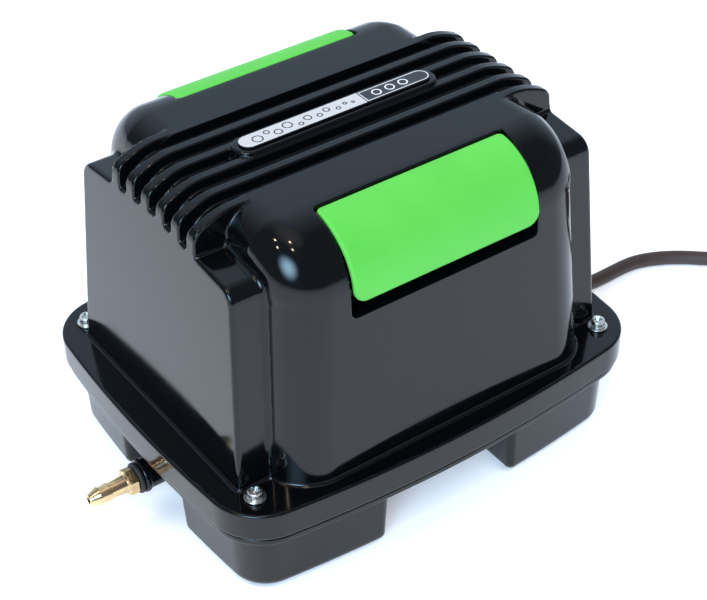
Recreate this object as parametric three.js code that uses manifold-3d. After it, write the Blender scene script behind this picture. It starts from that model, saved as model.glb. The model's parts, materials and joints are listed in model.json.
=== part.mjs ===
// Linear diaphragm air pump for ponds: finned weatherproof housing on a four-footed base.
// Millimetres. X runs along the cooling fins (hose barb at -X, cord at +X), Y across them,
// Z up from the floor the feet stand on.
import * as THREE from 'three';
import { mergeVertices } from 'three/addons/utils/BufferGeometryUtils.js';
import Module from 'manifold-3d';

const wasm = await Module();
wasm.setup();

// Play between pieces that touch.
const gap = 0.3;

// Flange of the housing: bowed sides with round corners.
const flangeTop = 59.8;
const flangeBottom = 43.8;
const cornerX = 96.2;
const cornerY = 69.9;
const cornerRadius = 29.7;
const longBow = 6.2;
const shortBow = 3.1;

// Upright walls of the housing.
const wallDraft = 0.062;
const blockHalfX = 112.4;
const blockHalfY = 74.6;
const wallThickness = 3.6;
const stripTopY = 36.6;
const stripTopZ = 173.4;
const stripOuterY = 61.0;
const stripOuterZ = 171.0;
const stripEdgeZ = 164.6;

// Rounded shoulders in front of and behind the finned block.
const shoulderHalfX = 95.4;
const shoulderFront = 94.6;
const shoulderBack = 33.0;
const shoulderTop = 191.5;
const shoulderRound = 32.0;
const shoulderSideRound = 17.0;
const shoulderCorner = 26.0;

// Cooling fins.
const finCount = 6;
const finPitch = 13.66;
const finThick = 6.2;
const finCrest = 191.5;
const finHalfX = 105.6;
const finFloorZ = 186.0;
const finFloorHalfX = 84.0;

// Label pad over the two middle fins.
const labelPadHalf = 59.0;
const labelPadRadius = 8.2;
const labelPadTop = 193.6;
const labelHalf = 55.7;
const labelRadius = 5.3;
const labelThick = 0.9;

// Soft grips wrapped over the shoulders.
const gripHalfX = 54.0;
const gripBack = 59.0;
const gripThick = 3.4;
const gripShiftY = 2.4;
const gripShiftZ = -0.9;
const gripLowZ = 155.0;
const pocketLowZ = 146.4;
const pocketHalfX = 54.4;
const pocketDepth = 15.0;

// Base.
const footInset = 8.0;
const footInnerX = 38.3;
const footInnerY = 26.3;
const footFaceZ = 1.2;
const trayUnder = 38.5;
const trayTop = 42.4;

// Housing screws.
const screwX = 108.0;
const screwY = 82.1;
const screwLength = 22.0;
const screwShank = 2.0;
const screwHole = 2.6;
const headRadius = 3.8;
const springRadius = 4.2;
const washerRadius = 5.3;

// Rubber pads under the feet.
const footPadX = 88.0;
const footPadY = 66.0;
const footPadRadius = 9.0;

// Air outlet between the two feet on the -X side.
const outletZ = 21.2;
const outletRadius = 8.0;
const outletDownRadius = 9.0;
const outletDownX = -50.0;
const portEndX = -127.5;
const portRimRadius = 9.0;
const sealThick = 2.7;
const hexRadius = 7.5;
const hexThick = 5.0;

// Cord entry, opposite the air outlet.
const cordZ = 16.0;
const entryX = 78.0;
const entryRadius = 8.0;
const entryEndX = 98.0;
const reliefLength = 32.0;
const cordRadius = 4.25;
// Centre line of the cord from its strain relief to the side of its coil.
const cordRoute = [
  [entryEndX + 2 * gap + reliefLength, 0, cordZ],
  [139, 0, cordZ],
  [148, 0, cordZ - 0.2],
  [156, 0, cordZ - 1.9],
  [164, 0, cordZ - 5.2],
  [172, 0, 7.7],
  [180, 0, 5.2],
  [189, 0.1, 4.35],
  [202, 0.4, cordRadius],
  [211, 0.4, cordRadius],
  [220, -0.9, cordRadius],
  [233, -6.2, cordRadius],
  [244.5, -13.8, cordRadius],
  [255.5, -23.3, cordRadius],
  [264, -30.2, cordRadius],
  [272, -37.2, cordRadius],
  [279, -44.8, cordRadius],
  [285.2, -53.2, cordRadius],
  [291.2, -62.8, cordRadius],
  [297.8, -73.8, cordRadius],
];

// Coiled length of the cord, its strap and its plug, lying to the right.
const coilMiddle = [357.2, -40.9];
const coilRadius = 48.0;
const coilHalfWidth = 15.3;
const coilLow = 1.3;
const coilHigh = 18.6;
const plugTurn = -43.0;
const plugSpot = [346.3, -111.4, 18.6];

// Air filter in the middle of the tray's underside.
const filterX = 8.0;

// Motor and pump heads.
const axisZ = 104.0;
const frameZ = 61.0;
const frameThick = 3.0;
const coreHalfZ = 15.0;
const mountX = 62.0;
const mountY = 40.0;
const rodHalf = 60.0;
const diaphragmX = 50.0;
const headEnd = 74.0;
const headHeight = 76.0;
const headMiddleZ = 102.6;
const coverDepth = 14.0;
const portY = 15.0;

// Rubber hoses from the pump heads to the air chamber.
const hoseX = 81.3;
const hoseY = 14.0;
const hoseRadius = 4.0;
const chamberHalfX = 62.0;

// Everything above is measured from the middle of the housing; this moves the middle of the
// whole pump, hose barb included, onto the origin.
const shiftX = 14.0;

const black = { color: 0x15171a, roughness: 0.16, metalness: 0.0 };
const baseBlack = { color: 0x16181b, roughness: 0.4, metalness: 0.0 };
const green = { color: 0x6be055, roughness: 0.55, metalness: 0.0 };
const silver = { color: 0xd8d5d8, roughness: 0.35, metalness: 0.6 };
const steel = { color: 0xc9c9c6, roughness: 0.28, metalness: 1.0 };
const brass = { color: 0xb98f3e, roughness: 0.28, metalness: 1.0 };
const rubber = { color: 0x1b1b1c, roughness: 0.8, metalness: 0.0 };
const alloy = { color: 0xa9abad, roughness: 0.45, metalness: 0.9 };
const lamination = { color: 0x5c5f63, roughness: 0.5, metalness: 0.8 };
const copper = { color: 0xa5562b, roughness: 0.45, metalness: 0.7 };
const nylon = { color: 0xdedbd0, roughness: 0.55, metalness: 0.0 };
const felt = { color: 0x6f7478, roughness: 1.0, metalness: 0.0 };
const cordSkin = { color: 0x4a3f39, roughness: 0.6, metalness: 0.0 };
const ferrite = { color: 0x3a3b3d, roughness: 0.6, metalness: 0.3 };

const model = new THREE.Group();
model.name = 'air_pump';

function place(name, geometry, look) {
  const mesh = new THREE.Mesh(geometry, new THREE.MeshStandardMaterial(look));
  mesh.name = name;
  model.add(mesh);
  return mesh;
}

// ---- helpers -------------------------------------------------------------

function toSolid(geometry) {
  const plain = geometry.clone();
  plain.deleteAttribute('normal');
  plain.deleteAttribute('uv');
  const merged = mergeVertices(plain, 1e-4);
  return new wasm.Manifold(new wasm.Mesh({
    numProp: 3,
    vertProperties: new Float32Array(merged.attributes.position.array),
    triVerts: new Uint32Array(merged.index.array),
  }));
}

function fromSolid(solid) {
  const mesh = solid.getMesh();
  const geometry = new THREE.BufferGeometry();
  geometry.setAttribute('position', new THREE.BufferAttribute(mesh.vertProperties, 3));
  geometry.setIndex(new THREE.BufferAttribute(mesh.triVerts, 1));
  geometry.computeVertexNormals();
  return geometry;
}

function join(first, ...rest) {
  let solid = toSolid(first);
  for (const part of rest) {
    solid = solid.add(toSolid(part));
  }
  return fromSolid(solid);
}

function cut(first, ...rest) {
  let solid = toSolid(first);
  for (const part of rest) {
    solid = solid.subtract(toSolid(part));
  }
  return fromSolid(solid);
}

function box(sizeX, sizeY, sizeZ, x, y, z) {
  return new THREE.BoxGeometry(sizeX, sizeY, sizeZ).translate(x, y, z);
}

// Cylinder along Z unless told otherwise; (x, y, z) is its middle.
function rod(radius, length, x, y, z, axis = 'z', sides = 20) {
  const geometry = new THREE.CylinderGeometry(radius, radius, length, sides);
  if (axis === 'z') geometry.rotateX(Math.PI / 2);
  if (axis === 'x') geometry.rotateZ(-Math.PI / 2);
  return geometry.translate(x, y, z);
}

// Profile points of a solid of revolution, ordered so that its faces point outwards.
function lathePoints(profile) {
  const area = profile.reduce((sum, [along, radius], i) => {
    const [nextAlong, nextRadius] = profile[(i + 1) % profile.length];
    return sum + along * nextRadius - nextAlong * radius;
  }, 0);
  const ordered = area < 0 ? profile : [...profile].reverse();
  return ordered.map(([along, radius]) => new THREE.Vector2(radius, along));
}

// Solid of revolution about the X axis: profile is a list of [distance along X, radius].
function turned(profile, x, y, z, sides = 24) {
  const geometry = new THREE.LatheGeometry(lathePoints(profile), sides);
  return geometry.rotateZ(-Math.PI / 2).translate(x, y, z);
}

// The same about the Z axis.
function turnedUp(profile, x, y, z, sides = 24) {
  const geometry = new THREE.LatheGeometry(lathePoints(profile), sides);
  return geometry.rotateX(Math.PI / 2).translate(x, y, z);
}

// Closed solid through a stack of rings that all have the same number of points.
function loft(rings) {
  const count = rings[0].length;
  const positions = [];
  const index = [];
  for (const ring of rings) {
    for (const point of ring) {
      positions.push(...point);
    }
  }
  for (let level = 0; level < rings.length - 1; level += 1) {
    for (let i = 0; i < count; i += 1) {
      const a = level * count + i;
      const b = level * count + (i + 1) % count;
      index.push(a, b, b + count, a, b + count, a + count);
    }
  }
  const flat = rings[0].map(([x, y]) => new THREE.Vector2(x, y));
  const faces = THREE.ShapeUtils.triangulateShape(flat, []);
  const last = (rings.length - 1) * count;
  for (const [a, b, c] of faces) {
    index.push(a, c, b);
    index.push(last + a, last + b, last + c);
  }
  const geometry = new THREE.BufferGeometry();
  geometry.setAttribute('position', new THREE.Float32BufferAttribute(positions, 3));
  geometry.setIndex(index);
  return geometry;
}

function ringAt(outline, z) {
  return outline.map(([x, y]) => [x, y, z]);
}

// Extrusion of an X-Z profile along Y, from y0 to y1.
function slab(profile, y0, y1) {
  const shape = new THREE.Shape(profile.map(([x, z]) => new THREE.Vector2(x, z)));
  const geometry = new THREE.ExtrudeGeometry(shape, { depth: y1 - y0, bevelEnabled: false });
  return geometry.rotateX(Math.PI / 2).translate(0, y1, 0);
}

function arcPoints(cx, cy, radius, from, to, steps) {
  const points = [];
  for (let i = 0; i <= steps; i += 1) {
    const angle = from + (to - from) * i / steps;
    points.push([cx + radius * Math.cos(angle), cy + radius * Math.sin(angle)]);
  }
  return points;
}

// Outline of the flange pulled in by an inset: four bowed sides and four round corners.
function flangeOutline(inset, sideSteps = 6, cornerSteps = 6) {
  const radius = cornerRadius - inset;
  const longArc = (cornerX * cornerX + longBow * longBow) / (2 * longBow);
  const shortArc = (cornerY * cornerY + shortBow * shortBow) / (2 * shortBow);
  const longAngle = Math.asin(cornerX / longArc);
  const shortAngle = Math.asin(cornerY / shortArc);
  const half = Math.PI / 2;
  const points = [];
  for (let turn = 0; turn < 4; turn += 1) {
    const side = turn % 2 === 0;
    const sign = turn < 2 ? 1 : -1;
    const start = turn * half;
    if (side) {
      const middle = [sign * (cornerX - shortArc + shortBow), 0];
      points.push(...arcPoints(middle[0], middle[1], shortArc + radius,
        start - shortAngle, start + shortAngle, sideSteps));
      points.push(...arcPoints(sign * cornerX, sign * cornerY, radius,
        start + shortAngle, start + half - longAngle, cornerSteps).slice(1, -1));
    } else {
      const middle = [0, sign * (cornerY - longArc + longBow)];
      points.push(...arcPoints(middle[0], middle[1], longArc + radius,
        start - longAngle, start + longAngle, sideSteps));
      points.push(...arcPoints(-sign * cornerX, sign * cornerY, radius,
        start + longAngle, start + half - shortAngle, cornerSteps).slice(1, -1));
    }
  }
  return points;
}

function rectangle(halfX, halfY) {
  return [[halfX, -halfY], [halfX, halfY], [-halfX, halfY], [-halfX, -halfY]];
}

function stadium(halfLength, radius, steps = 8) {
  const straight = halfLength - radius;
  return [
    ...arcPoints(straight, 0, radius, -Math.PI / 2, Math.PI / 2, steps),
    ...arcPoints(-straight, 0, radius, Math.PI / 2, 1.5 * Math.PI, steps),
  ];
}

// ---- housing -------------------------------------------------------------

function blockSolid(inset, bottom, top) {
  const drift = (z) => wallDraft * (z - flangeTop);
  const levels = [
    [bottom, blockHalfY - drift(bottom)],
    [stripEdgeZ, blockHalfY - drift(stripEdgeZ)],
    [stripEdgeZ + 3.4, blockHalfY - drift(stripEdgeZ) - 1.3],
    [stripEdgeZ + 5.5, blockHalfY - drift(stripEdgeZ) - 4.0],
    [stripOuterZ, stripOuterY],
    [stripTopZ, stripTopY],
  ];
  const rings = levels.map(([z, halfY]) => {
    const halfX = blockHalfX - drift(z) - inset;
    return ringAt(rectangle(halfX, halfY - inset), Math.min(z, top));
  });
  return loft(rings.filter((ring, i) => i === 0 || ring[0][2] > rings[i - 1][0][2]));
}

// One shoulder; side is -1 at the front and +1 at the rear. The long edge is rounded more
// than the two ends.
function shoulderSolid(side, inset, bottom, steps) {
  const top = shoulderTop - inset;
  const start = top - shoulderRound;
  const levels = [[bottom, 0, 0], [start, 0, 0]];
  for (let i = 1; i <= steps; i += 1) {
    const angle = Math.PI / 2 * i / steps;
    const z = start + shoulderRound * Math.sin(angle);
    const fall = Math.max(0, z - (top - shoulderSideRound)) / shoulderSideRound;
    const sidePull = shoulderSideRound * (1 - Math.sqrt(Math.max(0, 1 - fall * fall)));
    levels.push([z, shoulderRound * (1 - Math.cos(angle)), sidePull]);
  }
  const rings = levels.map(([z, frontPull, sidePull]) => {
    const drift = wallDraft * (z - flangeTop);
    const halfX = shoulderHalfX - drift - inset - sidePull;
    const front = shoulderFront - drift - inset - frontPull;
    const radius = Math.max(shoulderCorner - inset - frontPull * 0.3, 6);
    const outline = [
      [-halfX, shoulderBack],
      ...arcPoints(-halfX + radius, front - radius, radius, Math.PI, Math.PI / 2, steps),
      ...arcPoints(halfX - radius, front - radius, radius, Math.PI / 2, 0, steps),
      [halfX, shoulderBack],
    ];
    const points = outline.map(([x, y]) => [x, y * side]);
    return ringAt(side < 0 ? points : points.reverse(), z);
  });
  return loft(rings);
}

function finProfile() {
  const right = [
    [finHalfX + 0.4, stripTopZ - 6],
    [finHalfX - 0.8, finCrest - 9.0],
    [finHalfX - 3.0, finCrest - 6.2],
    [finHalfX - 8.0, finCrest - 3.8],
    [finHalfX - 15.0, finCrest - 1.4],
    [finHalfX - 23.0, finCrest],
  ];
  const left = right.map(([x, z]) => [-x, z]).reverse();
  return [...right, ...left];
}

function finRow() {
  const fins = [];
  for (let i = 0; i < finCount; i += 1) {
    const y = (i - (finCount - 1) / 2) * finPitch;
    fins.push(slab(finProfile(), y - finThick / 2, y + finThick / 2));
  }
  return fins;
}

function fluteFloor() {
  const right = [
    [finFloorHalfX + 20, stripTopZ - 4],
    [finFloorHalfX + 16, stripTopZ + 2],
    [finFloorHalfX + 9, finFloorZ - 3.4],
    [finFloorHalfX, finFloorZ],
  ];
  const left = right.map(([x, z]) => [-x, z]).reverse();
  const halfY = (finCount - 1) / 2 * finPitch;
  return slab([...right, ...left], -halfY, halfY);
}

function labelPad() {
  const outline = stadium(labelPadHalf, labelPadRadius);
  const foot = stadium(labelPadHalf + 1.4, labelPadRadius + 1.4);
  return loft([
    ringAt(foot, finFloorZ - 3),
    ringAt(foot, labelPadTop - 1.4),
    ringAt(outline, labelPadTop),
  ]);
}

// Curved band between two offsets from the grip's outer face, used for the grip itself and
// for the bed it lies in.
function gripBand(side, outer, inner, halfX, lowZ, backY, steps) {
  const centreZ = shoulderTop - shoulderRound + gripShiftZ;
  const drift = wallDraft * (shoulderTop - shoulderRound - flangeTop);
  const centreY = shoulderFront - drift - shoulderRound + gripShiftY;
  const end = Math.acos((backY - centreY) / shoulderRound);
  const arc = (radius) => arcPoints(centreY, centreZ, radius, 0, end, steps);
  const profile = [
    [centreY + shoulderRound + outer, lowZ],
    ...arc(shoulderRound + outer),
    ...arc(shoulderRound + inner).reverse(),
    [centreY + shoulderRound + inner, lowZ],
  ];
  const shape = new THREE.Shape(profile.map(([y, z]) => new THREE.Vector2(y, z)));
  const geometry = new THREE.ExtrudeGeometry(shape, { depth: 2 * halfX, bevelEnabled: false });
  geometry.rotateX(Math.PI / 2).rotateZ(Math.PI / 2).translate(-halfX, 0, 0);
  if (side < 0) geometry.rotateZ(Math.PI);
  return geometry;
}

function corners(x, y) {
  return [[-x, -y], [x, -y], [x, y], [-x, y]];
}

function upperHousing() {
  const outer = [
    loft([
      ringAt(flangeOutline(0), flangeBottom),
      ringAt(flangeOutline(0), flangeTop - 1.4),
      ringAt(flangeOutline(0.5), flangeTop - 0.4),
      ringAt(flangeOutline(1.5), flangeTop),
    ]),
    blockSolid(0, flangeTop - 2, 999),
    shoulderSolid(-1, 0, flangeTop - 2, 7),
    shoulderSolid(1, 0, flangeTop - 2, 7),
    ...finRow(),
    fluteFloor(),
    labelPad(),
  ];
  const hollow = [
    blockSolid(wallThickness, flangeTop - 4, stripEdgeZ + 2),
    box(164, 64, 24, 0, 0, stripEdgeZ + 5),
    shoulderSolid(-1, wallThickness, flangeTop - 4, 4),
    shoulderSolid(1, wallThickness, flangeTop - 4, 4),
    loft([
      ringAt(flangeOutline(5), flangeBottom - 1),
      ringAt(flangeOutline(5), flangeTop - 3.6),
    ]),
  ];
  const bosses = corners(screwX, screwY).map(([x, y]) => (
    rod(6.5, flangeTop - 2 - flangeBottom, x, y, (flangeTop - 2 + flangeBottom) / 2, 'z', 16)
  ));
  const holes = corners(screwX, screwY).map(([x, y]) => (
    rod(screwHole, 40, x, y, flangeTop - 8, 'z', 16)
  ));
  const beds = [-1, 1].map((side) => (
    gripBand(side, 12, -gripThick - gap, gripHalfX + gap, gripLowZ - 0.5, gripBack - gap, 8)
  ));
  const pocketWalls = [-1, 1].map((side) => pocketWall(side, pocketDepth + 3, 3));
  const pockets = [-1, 1].map((side) => pocketWall(side, pocketDepth, 0));
  const joined = join(...outer);
  const hollowed = cut(joined, ...hollow);
  const lined = join(hollowed, ...bosses, ...pocketWalls);
  return cut(lined, ...holes, ...pockets, ...beds);
}

// Box behind the lower edge of a grip: the finger pocket, or with a margin its wall.
function pocketWall(side, depth, margin) {
  const faceY = shoulderFront - wallDraft * (pocketLowZ - flangeTop) - 1.2;
  const outerY = margin > 0 ? faceY : faceY + 12;
  const innerY = faceY - depth;
  const top = gripLowZ + 12 + margin;
  const low = pocketLowZ - margin;
  const middleY = side * (outerY + innerY) / 2;
  return box(2 * (pocketHalfX + margin), outerY - innerY, top - low, 0, middleY, (top + low) / 2);
}

function labelPlate() {
  return loft([
    ringAt(stadium(labelHalf, labelRadius), labelPadTop + gap),
    ringAt(stadium(labelHalf, labelRadius), labelPadTop + gap + labelThick),
  ]);
}

// Pan-head screw with its spring ring and flat washer, all one captive set.
function housingScrew(x, y) {
  const seat = flangeTop + gap;
  const profile = [
    [flangeTop - screwLength, 0],
    [flangeTop - screwLength, screwShank - 0.5],
    [flangeTop - screwLength + 1, screwShank],
    [seat, screwShank],
    [seat, washerRadius],
    [seat + 1.0, washerRadius],
    [seat + 1.0, springRadius],
    [seat + 1.9, springRadius],
    [seat + 1.9, headRadius],
    [seat + 4.3, headRadius - 0.2],
    [seat + 5.0, headRadius - 1.1],
    [seat + 5.1, 0],
  ];
  const slots = [box(4.6, 0.9, 4, 0, 0, seat + 5.1), box(0.9, 4.6, 4, 0, 0, seat + 5.1)];
  return cut(turnedUp(profile, 0, 0, 0, 12), ...slots).translate(x, y, 0);
}

// ---- base ----------------------------------------------------------------

// One foot: a quarter of the inset outline with its inner corners rounded.
function footSolid(signX, signY) {
  const quarter = (inset, innerX, innerY) => {
    const bearing = ([x, y]) => Math.atan2(y - innerY, x - innerX);
    const isFirst = ([x, y], i, all) => all.findIndex(([a, b]) => Math.hypot(a - x, b - y) < 0.5) === i;
    const edge = flangeOutline(inset, 6, 5)
      .map(([x, y]) => [Math.abs(x), Math.abs(y)])
      .filter(isFirst)
      .filter(([x, y]) => x > innerX + 6 && y > innerY + 6)
      .sort((p, q) => bearing(p) - bearing(q));
    const endX = edge[0][0];
    const endY = edge[edge.length - 1][1];
    return [
      [innerX + 2, innerY],
      [endX - 4, innerY],
      [endX - 1.2, innerY + 1.2],
      [endX, innerY + 4],
      ...edge,
      [innerX + 4, endY],
      [innerX + 1.2, endY - 1.2],
      [innerX, endY - 4],
      [innerX, innerY + 2],
    ];
  };
  const levels = [
    [footFaceZ, 4.2], [footFaceZ + 1.3, 2.2], [footFaceZ + 4, 1.2],
    [trayUnder - 3, 0], [trayUnder + 1, -1.2],
  ];
  const flip = signX * signY < 0;
  const rings = levels.map(([z, pull]) => {
    const points = quarter(footInset + pull, footInnerX + pull, footInnerY + pull)
      .map(([x, y]) => [x * signX, y * signY]);
    return ringAt(flip ? points.reverse() : points, z);
  });
  return loft(rings);
}

function baseTray() {
  const plate = loft([
    ringAt(flangeOutline(3), trayUnder),
    ringAt(flangeOutline(1.6), trayUnder + 1.6),
    ringAt(flangeOutline(1.6), trayTop),
  ]);
  const feet = corners(1, 1).map(([x, y]) => footSolid(x, y));
  const seats = corners(footPadX, footPadY).map(([x, y]) => (
    rod(footPadRadius + gap, 3, x, y, footFaceZ + 0.5, 'z', 20)
  ));
  const holes = corners(screwX, screwY).map(([x, y]) => (
    rod(screwShank + gap, 30, x, y, flangeTop - screwLength + 14.4, 'z', 16)
  ));
  const hollows = corners(86, 56).map(([x, y]) => (
    box(27, 46, trayTop - 7, x, y, (trayTop + 9) / 2)
  ));
  const airHole = rod(outletDownRadius + gap, 20, outletDownX, 0, trayTop, 'z', 20);
  const entryHole = rod(entryRadius + gap, 20, entryX, 0, trayTop, 'z', 20);
  return cut(join(plate, ...feet), ...seats, ...holes, ...hollows, airHole, entryHole);
}

function footPad(x, y) {
  return rod(footPadRadius, 1.7, x, y, 0.85, 'z', 20);
}

function baseGasket() {
  const outer = loft([
    ringAt(flangeOutline(2.2, 4, 4), trayTop + gap),
    ringAt(flangeOutline(2.2, 4, 4), flangeBottom - gap),
  ]);
  const inner = loft([
    ringAt(flangeOutline(4.6, 4, 4), trayTop - 1),
    ringAt(flangeOutline(4.6, 4, 4), flangeBottom + 1),
  ]);
  return cut(outer, inner);
}

// ---- air outlet ----------------------------------------------------------

// Elbow under the tray: comes down from the air chamber, then runs out at -X.
function outletPort() {
  const low = outletZ - outletRadius - 1;
  const high = trayTop + 4;
  const down = rod(outletDownRadius, high - low, outletDownX, 0, (high + low) / 2, 'z', 20);
  const middleX = (outletDownX + portEndX) / 2;
  const out = rod(outletRadius, outletDownX - portEndX, middleX, 0, outletZ, 'x', 20);
  const rim = rod(portRimRadius, 2.4, portEndX + 1.2, 0, outletZ, 'x', 20);
  const bore = rod(5.2, 30, portEndX + 12, 0, outletZ, 'x', 16);
  return cut(join(down, out, rim), bore);
}

function outletSeal() {
  return turned([
    [-sealThick, 5.2], [0, 5.2], [0, 7.3], [-0.6, 8.0], [-sealThick + 0.6, 8.0],
    [-sealThick, 7.3], [-sealThick, 5.2],
  ], portEndX - gap, 0, outletZ, 20);
}

function hoseBarb() {
  const root = portEndX - sealThick - 2 * gap;
  const front = -hexThick;
  const body = turned([
    [14, 0], [14, 4.6], [0, 4.6], [0, 5.2], [front, 5.2], [front - 1.2, 4.6], [front - 9.7, 4.7],
    [front - 9.7, 4.2], [front - 16.1, 5.0], [front - 16.1, 4.6], [front - 20.7, 3.2],
    [front - 21.2, 2.7], [front - 21.2, 0],
  ], root, 0, outletZ, 16);
  const hexagon = rod(hexRadius, hexThick, root - hexThick / 2, 0, outletZ, 'x', 6);
  const bore = rod(1.8, 60, root - 10, 0, outletZ, 'x', 8);
  return cut(join(body, hexagon), bore);
}

// ---- inside --------------------------------------------------------------

function airChamber() {
  const tank = box(2 * chamberHalfX, 44, 17, 0, 0, trayTop + gap + 8.5);
  const outlet = rod(outletDownRadius + gap, 12, outletDownX, 0, trayTop, 'z', 20);
  return cut(tank, outlet);
}

function vibrationMount(x, y) {
  const foot = trayTop + gap;
  const height = frameZ - gap - foot;
  return turnedUp([
    [0, 0], [0, 7.5], [height * 0.3, 8], [height * 0.5, 6.4], [height * 0.7, 8], [height, 7.5],
    [height, 0],
  ], x, y, foot, 14);
}

function motorFrame() {
  const plate = box(190, 118, frameThick, 0, 0, frameZ + frameThick / 2);
  const top = frameZ + frameThick;
  const cradleHeight = axisZ - coreHalfZ - gap - top;
  const cradles = [-1, 1].map((side) => (
    box(64, 12, cradleHeight + 1, 0, side * 43, top + (cradleHeight - 1) / 2)
  ));
  const slot = box(40, 30, 20, 0, 0, frameZ);
  const hoseHoles = [-1, 1].map((side) => (
    rod(hoseRadius + 1, 20, side * hoseX, hoseY, frameZ, 'z', 16)
  ));
  return cut(join(plate, ...cradles), slot, ...hoseHoles);
}

// E-shaped lamination stack; its three legs point at the magnet rod.
function core(side) {
  const shape = new THREE.Shape();
  const outline = [
    [-34, 50], [-34, 13], [-24, 13], [-24, 38], [-7, 38], [-7, 13],
    [7, 13], [7, 38], [24, 38], [24, 13], [34, 13], [34, 50],
  ];
  outline.forEach(([x, y], i) => (i === 0 ? shape.moveTo(x, y) : shape.lineTo(x, y)));
  const geometry = new THREE.ExtrudeGeometry(shape, { depth: 2 * coreHalfZ, bevelEnabled: false });
  geometry.translate(0, 0, axisZ - coreHalfZ);
  return side < 0 ? geometry.rotateZ(Math.PI) : geometry;
}

function coil(side) {
  const outer = box(32, 21, 2 * coreHalfZ + 17, 0, side * 26.2, axisZ);
  const inner = box(14 + 2 * gap, 40, 2 * coreHalfZ + 2 * gap, 0, side * 26.2, axisZ);
  return cut(outer, inner);
}

// ---- moving rod ----------------------------------------------------------

function magnetRod() {
  const shaft = rod(3, 2 * rodHalf, 0, 0, axisZ, 'x', 16);
  const carrier = box(58, 6, 24, 0, 0, axisZ);
  return join(shaft, carrier);
}

function magnet(sign) {
  return box(18, 4.4, 22, 0, sign * (3 + gap + 2.2), axisZ);
}

function diaphragmDisc(x, direction) {
  return turned([[0, 3 + gap], [2.4, 3 + gap], [2.4, 12], [1.6, 13], [0, 13], [0, 3 + gap]]
    .map(([along, radius]) => [along * direction, radius]), x, 0, axisZ, 16);
}

function rodNut(x) {
  const nut = rod(6.2, 5, x, 0, axisZ, 'x', 6);
  return cut(nut, rod(3 + gap, 8, x, 0, axisZ, 'x', 16));
}

// ---- pump heads ----------------------------------------------------------

function diaphragm(sign) {
  const thick = 2.0;
  const half = thick / 2;
  const outline = [
    [half, 3 + gap], [half, 16], [half + 3, 20], [half + 3, 22], [half, 26], [half, 32],
    [-half, 32], [-half, 26], [-half + 3, 22], [-half + 3, 20], [-half, 16], [-half, 3 + gap],
    [half, 3 + gap],
  ].map(([along, radius]) => [along * sign, radius]);
  return turned(outline, sign * diaphragmX, 0, axisZ, 18);
}

function clampRing(sign) {
  const x = sign * (diaphragmX - 1 - gap - 2);
  return cut(rod(36, 4, x, 0, axisZ, 'x', 24), rod(27, 8, x, 0, axisZ, 'x', 24));
}

function pumpHead(sign) {
  const inner = diaphragmX + 1 + gap;
  const length = headEnd - inner;
  const middle = sign * (inner + length / 2);
  const body = box(length, 76, headHeight, middle, 0, headMiddleZ);
  const bowl = rod(27, length, sign * (inner + length / 2 - 4), 0, axisZ, 'x', 24);
  const ports = [-1, 1].map((side) => rod(3, 20, sign * headEnd, side * portY, axisZ, 'x', 12));
  return cut(body, bowl, ...ports);
}

function headCover(sign) {
  const start = headEnd + gap;
  const body = box(coverDepth, 76, headHeight, sign * (start + coverDepth / 2), 0, headMiddleZ);
  const chambers = [-1, 1].map((side) => (
    box(coverDepth, 28, 44, sign * (start + coverDepth / 2 - 2.4), side * 18, axisZ)
  ));
  const tail = rod(3, 44, sign * hoseX, hoseY, headMiddleZ - headHeight / 2, 'z', 12);
  return cut(body, ...chambers, tail);
}

function umbrellaValve(sign, side) {
  const face = headEnd + gap;
  const profile = side > 0
    ? [[0, 0], [0, 7.5], [0.9, 7.5], [1.8, 3.0], [2.6, 0]]
    : [[0, 0], [0, 6.5], [1.0, 6.5], [1.8, 2.6], [2.4, 0]];
  const points = profile.map(([along, radius]) => [along * sign, radius]);
  return turned(points, sign * (face + 0.2), side * portY, axisZ, 12);
}

// Rubber bend from a head cover down and in to the end of the air chamber.
function headHose(sign) {
  const chamberZ = trayTop + gap + 7;
  const points = [
    [hoseX, headMiddleZ - headHeight / 2 - gap],
    [hoseX, 59.5],
    [hoseX - 0.8, 55.5],
    [hoseX - 4, chamberZ + 1.4],
    [hoseX - 9, chamberZ],
    [chamberHalfX + gap, chamberZ],
  ];
  return tube(points.map(([x, z]) => [sign * x, hoseY, z]), hoseRadius, 8, 4);
}

// Round tube with flat ends along a smooth line through the points.
function tube(points, radius, steps, sides) {
  const shape = new THREE.Shape();
  shape.absarc(0, 0, radius, 0, 2 * Math.PI, false);
  const path = new THREE.CatmullRomCurve3(points.map((point) => new THREE.Vector3(...point)));
  return new THREE.ExtrudeGeometry(shape, {
    steps, curveSegments: sides, bevelEnabled: false, extrudePath: path,
  });
}

// ---- electrics -----------------------------------------------------------

function terminalBlock() {
  const body = box(24, 12, 13, 88, -24, trayTop + gap + 6.5);
  const wireHoles = [-8, 0, 8].map((x) => rod(1.6, 20, 88 + x, -24, trayTop + gap + 5, 'y', 10));
  const screwHoles = [-8, 0, 8].map((x) => rod(1.8, 6, 88 + x, -24, trayTop + gap + 13, 'z', 10));
  return cut(body, ...wireHoles, ...screwHoles);
}

// Elbow under the tray that the cord comes in through.
function cordEntry() {
  const low = cordZ - entryRadius;
  const high = trayTop + 3;
  const down = rod(entryRadius, high - low, entryX, 0, (high + low) / 2, 'z', 20);
  const out = rod(entryRadius, entryEndX - entryX, (entryEndX + entryX) / 2, 0, cordZ, 'x', 20);
  return join(down, out);
}

function strainRelief() {
  return turned([
    [0, 0], [0, 7.6], [3, 7.6], [3, 6.6], [reliefLength, 5.2], [reliefLength, 0],
  ], entryEndX + gap, 0, cordZ, 16);
}

function powerCord() {
  return tube(cordRoute, cordRadius, 48, 5);
}

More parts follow.
